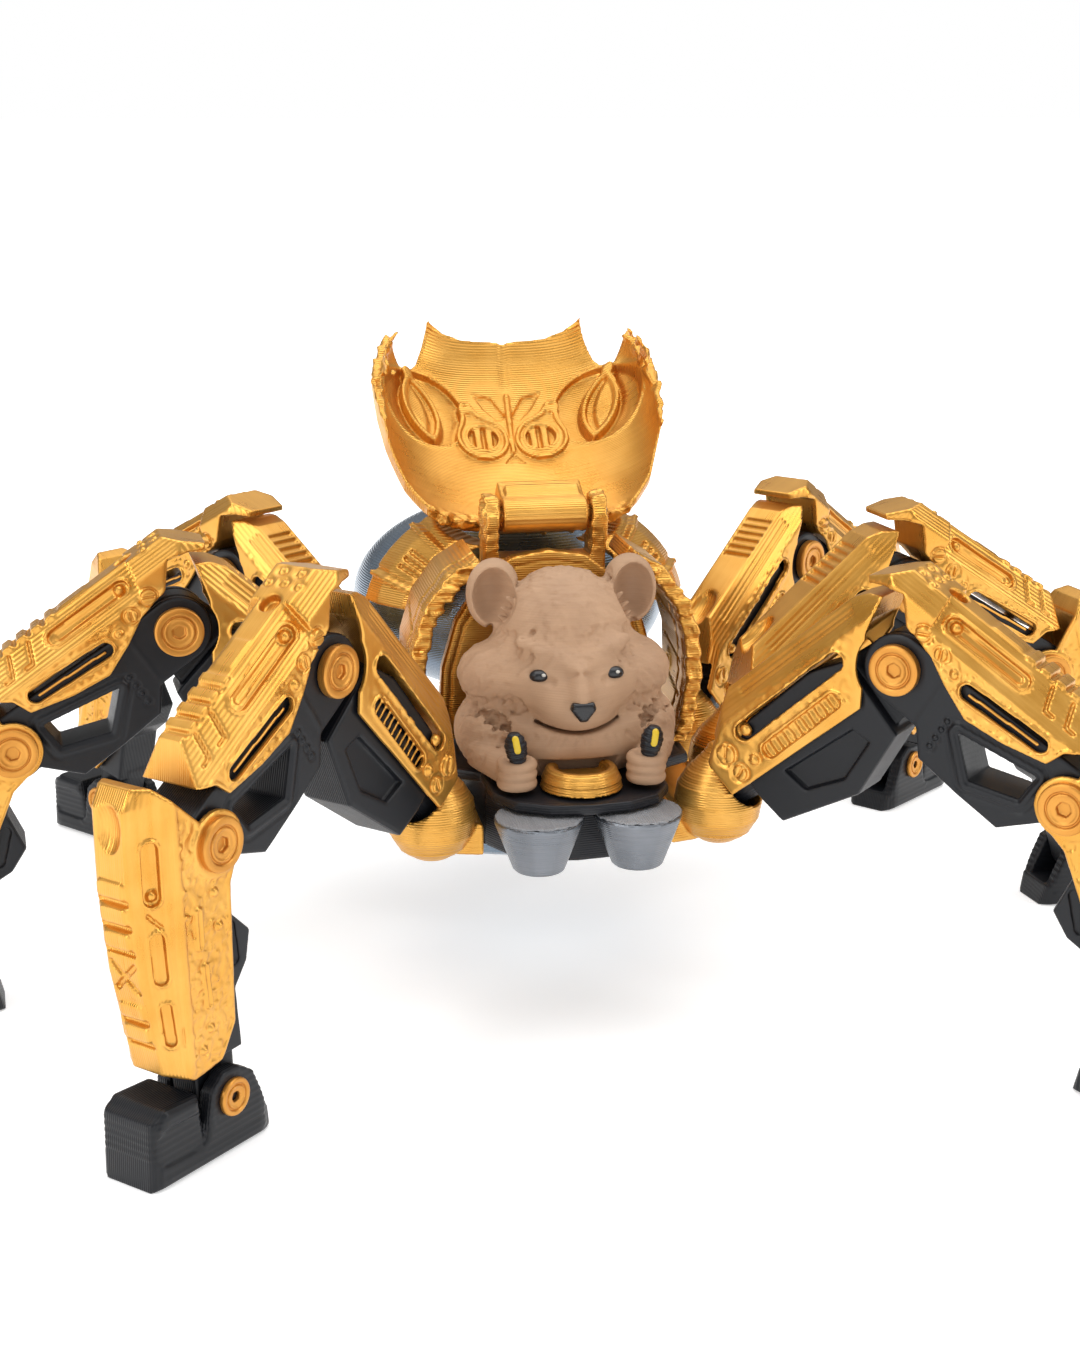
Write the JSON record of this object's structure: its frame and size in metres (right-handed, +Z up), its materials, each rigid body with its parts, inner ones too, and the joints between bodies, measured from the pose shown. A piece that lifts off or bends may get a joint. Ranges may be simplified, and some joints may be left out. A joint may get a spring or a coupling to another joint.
{
  "type": "hexapod spider robot figure",
  "caption": "Desk-top spider robot with jointed two-tone legs, ball hips, a hinged open hood over a cockpit and a bear pilot.",
  "frame": {"origin": "on the floor under the middle of the bounding box, at rest", "axes": "+Z up, the face looks along -Y, +X across the face; names ending in left lie on the -X side, as seen by someone facing the robot"},
  "size_m": [0.1844, 0.1368, 0.0831],
  "materials": {
    "gold_plastic": "silky gold printed plastic with fine layer lines",
    "black_plastic": "satin black printed plastic with fine layer lines",
    "silver_plastic": "silky silver printed plastic",
    "steel_blue_plastic": "silky blue-grey printed plastic",
    "brown_plastic": "matt brown printed plastic"
  },
  "bodies": {
    "body": {"deck_hull": "black_plastic", "socket_bank_left": "gold_plastic", "socket_bank_right": "gold_plastic", "cockpit_shell_left": "gold_plastic", "cockpit_shell_right": "gold_plastic", "seat_back": "gold_plastic", "hinge_bracket": "gold_plastic", "abdomen_sphere": "steel_blue_plastic", "abdomen_armour_left": "gold_plastic", "abdomen_armour_right": "gold_plastic", "belly_dish": "steel_blue_plastic", "pilot_bear": "brown_plastic", "joystick_left": "black_plastic", "joystick_right": "black_plastic", "console_collar": "gold_plastic", "jaw_left": "silver_plastic", "jaw_right": "silver_plastic"},
    "hood": {"hood": "gold_plastic"},
    "front_left_hip": {"front_left_hip_link": "black_plastic", "front_left_hip_cover": "gold_plastic"},
    "front_left_thigh": {"front_left_thigh_link": "black_plastic", "front_left_thigh_cover": "gold_plastic"},
    "front_left_shin": {"front_left_shin_link": "black_plastic", "front_left_shin_cover": "gold_plastic"},
    "front_left_sole": {"front_left_foot": "black_plastic"},
    "middle_left_hip": {"middle_left_hip_link": "black_plastic", "middle_left_hip_cover": "gold_plastic"},
    "middle_left_thigh": {"middle_left_thigh_link": "black_plastic", "middle_left_thigh_cover": "gold_plastic"},
    "middle_left_shin": {"middle_left_shin_link": "black_plastic", "middle_left_shin_cover": "gold_plastic"},
    "middle_left_sole": {"middle_left_foot": "black_plastic"},
    "rear_left_hip": {"rear_left_hip_link": "black_plastic", "rear_left_hip_cover": "gold_plastic"},
    "rear_left_thigh": {"rear_left_thigh_link": "black_plastic", "rear_left_thigh_cover": "gold_plastic"},
    "rear_left_shin": {"rear_left_shin_link": "black_plastic", "rear_left_shin_cover": "gold_plastic"},
    "rear_left_sole": {"rear_left_foot": "black_plastic"},
    "front_right_hip": {"front_right_hip_link": "black_plastic", "front_right_hip_cover": "gold_plastic"},
    "front_right_thigh": {"front_right_thigh_link": "black_plastic", "front_right_thigh_cover": "gold_plastic"},
    "front_right_shin": {"front_right_shin_link": "black_plastic", "front_right_shin_cover": "gold_plastic"},
    "front_right_sole": {"front_right_foot": "black_plastic"},
    "middle_right_hip": {"middle_right_hip_link": "black_plastic", "middle_right_hip_cover": "gold_plastic"},
    "middle_right_thigh": {"middle_right_thigh_link": "black_plastic", "middle_right_thigh_cover": "gold_plastic"},
    "middle_right_shin": {"middle_right_shin_link": "black_plastic", "middle_right_shin_cover": "gold_plastic"},
    "middle_right_sole": {"middle_right_foot": "black_plastic"},
    "rear_right_hip": {"rear_right_hip_link": "black_plastic", "rear_right_hip_cover": "gold_plastic"},
    "rear_right_thigh": {"rear_right_thigh_link": "black_plastic", "rear_right_thigh_cover": "gold_plastic"},
    "rear_right_shin": {"rear_right_shin_link": "black_plastic", "rear_right_shin_cover": "gold_plastic"},
    "rear_right_sole": {"rear_right_foot": "black_plastic"}
  },
  "joints": [
    {"name": "hood_hinge", "type": "hinge", "parent": "body", "child": "hood", "pos_m": [0.00029, 0.00491, 0.0595], "axis": [1, 0, 0], "range_deg": [0, 156]},
    {"name": "front_left_hip_swing", "type": "hinge", "parent": "body", "child": "front_left_hip", "pos_m": [-0.01831, -0.01859, 0.0264], "axis": [0, 0, 1], "range_deg": [-12, 12]},
    {"name": "front_left_knee", "type": "hinge", "parent": "front_left_hip", "child": "front_left_thigh", "pos_m": [-0.03398, -0.03453, 0.05067], "axis": [-0.7133, 0.7009, 0], "range_deg": [-6.6, 21.4]},
    {"name": "front_left_shin_hinge", "type": "hinge", "parent": "front_left_thigh", "child": "front_left_shin", "pos_m": [-0.04862, -0.04943, 0.03658], "axis": [-0.7133, 0.7009, 0], "range_deg": [-14, 23]},
    {"name": "front_left_ankle", "type": "hinge", "parent": "front_left_shin", "child": "front_left_sole", "pos_m": [-0.04789, -0.04869, 0.0068], "axis": [-0.7133, 0.7009, 0], "range_deg": [-10, 10]},
    {"name": "middle_left_hip_swing", "type": "hinge", "parent": "body", "child": "middle_left_hip", "pos_m": [-0.02431, -0.00149, 0.0264], "axis": [0, 0, 1], "range_deg": [-12, 12]},
    {"name": "middle_left_knee", "type": "hinge", "parent": "middle_left_hip", "child": "middle_left_thigh", "pos_m": [-0.04856, -0.00361, 0.04868], "axis": [-0.0872, 0.9962, 0], "range_deg": [-12.1, 15.9]},
    {"name": "middle_left_shin_hinge", "type": "hinge", "parent": "middle_left_thigh", "child": "middle_left_shin", "pos_m": [-0.06952, -0.00544, 0.0348], "axis": [-0.0872, 0.9962, 0], "range_deg": [-35.4, 1.6]},
    {"name": "middle_left_ankle", "type": "hinge", "parent": "middle_left_shin", "child": "middle_left_sole", "pos_m": [-0.07967, -0.00633, 0.0068], "axis": [-0.0872, 0.9962, 0], "range_deg": [-10, 10]},
    {"name": "rear_left_hip_swing", "type": "hinge", "parent": "body", "child": "rear_left_hip", "pos_m": [-0.02131, 0.01381, 0.0264], "axis": [0, 0, 1], "range_deg": [-12, 12]},
    {"name": "rear_left_knee", "type": "hinge", "parent": "rear_left_hip", "child": "rear_left_thigh", "pos_m": [-0.03841, 0.03349, 0.04663], "axis": [0.7547, 0.6561, 0], "range_deg": [-24.2, 3.8]},
    {"name": "rear_left_shin_hinge", "type": "hinge", "parent": "rear_left_thigh", "child": "rear_left_shin", "pos_m": [-0.05327, 0.05058, 0.03558], "axis": [0.7547, 0.6561, 0], "range_deg": [-23, 14]},
    {"name": "rear_left_ankle", "type": "hinge", "parent": "rear_left_shin", "child": "rear_left_sole", "pos_m": [-0.05833, 0.0564, 0.0068], "axis": [0.7547, 0.6561, 0], "range_deg": [-10, 10]},
    {"name": "front_right_hip_swing", "type": "hinge", "parent": "body", "child": "front_right_hip", "pos_m": [0.01869, -0.01859, 0.0264], "axis": [0, 0, 1], "range_deg": [-12, 12]},
    {"name": "front_right_knee", "type": "hinge", "parent": "front_right_hip", "child": "front_right_thigh", "pos_m": [0.03697, -0.03563, 0.04795], "axis": [-0.682, -0.7314, 0], "range_deg": [-16.2, 11.8]},
    {"name": "front_right_shin_hinge", "type": "hinge", "parent": "front_right_thigh", "child": "front_right_shin", "pos_m": [0.05276, -0.05036, 0.03498], "axis": [-0.682, -0.7314, 0], "range_deg": [-32, 5]},
    {"name": "front_right_ankle", "type": "hinge", "parent": "front_right_shin", "child": "front_right_sole", "pos_m": [0.05986, -0.05698, 0.0068], "axis": [-0.682, -0.7314, 0], "range_deg": [-10, 10]},
    {"name": "middle_right_hip_swing", "type": "hinge", "parent": "body", "child": "middle_right_hip", "pos_m": [0.02489, -0.00149, 0.0264], "axis": [0, 0, 1], "range_deg": [-12, 12]},
    {"name": "middle_right_knee", "type": "hinge", "parent": "middle_right_hip", "child": "middle_right_thigh", "pos_m": [0.04922, 0.0015, 0.0485], "axis": [0.1219, -0.9925, 0], "range_deg": [-14, 14]},
    {"name": "middle_right_shin_hinge", "type": "hinge", "parent": "middle_right_thigh", "child": "middle_right_shin", "pos_m": [0.07043, 0.00411, 0.03514], "axis": [0.1219, -0.9925, 0], "range_deg": [-32, 5]},
    {"name": "middle_right_ankle", "type": "hinge", "parent": "middle_right_shin", "child": "middle_right_sole", "pos_m": [0.07957, 0.00523, 0.0068], "axis": [0.1219, -0.9925, 0], "range_deg": [-10, 10]},
    {"name": "rear_right_hip_swing", "type": "hinge", "parent": "body", "child": "rear_right_hip", "pos_m": [0.02189, 0.01381, 0.0264], "axis": [0, 0, 1], "range_deg": [-12, 12]},
    {"name": "rear_right_knee", "type": "hinge", "parent": "rear_right_hip", "child": "rear_right_thigh", "pos_m": [0.04195, 0.03035, 0.04673], "axis": [0.6361, -0.7716, 0], "range_deg": [-20, 8]},
    {"name": "rear_right_shin_hinge", "type": "hinge", "parent": "rear_right_thigh", "child": "rear_right_shin", "pos_m": [0.05879, 0.04423, 0.03413], "axis": [0.6361, -0.7716, 0], "range_deg": [-35.5, 1.5]},
    {"name": "rear_right_ankle", "type": "hinge", "parent": "rear_right_shin", "child": "rear_right_sole", "pos_m": [0.06796, 0.05179, 0.0068], "axis": [0.6361, -0.7716, 0], "range_deg": [-10, 10]}
  ]
}
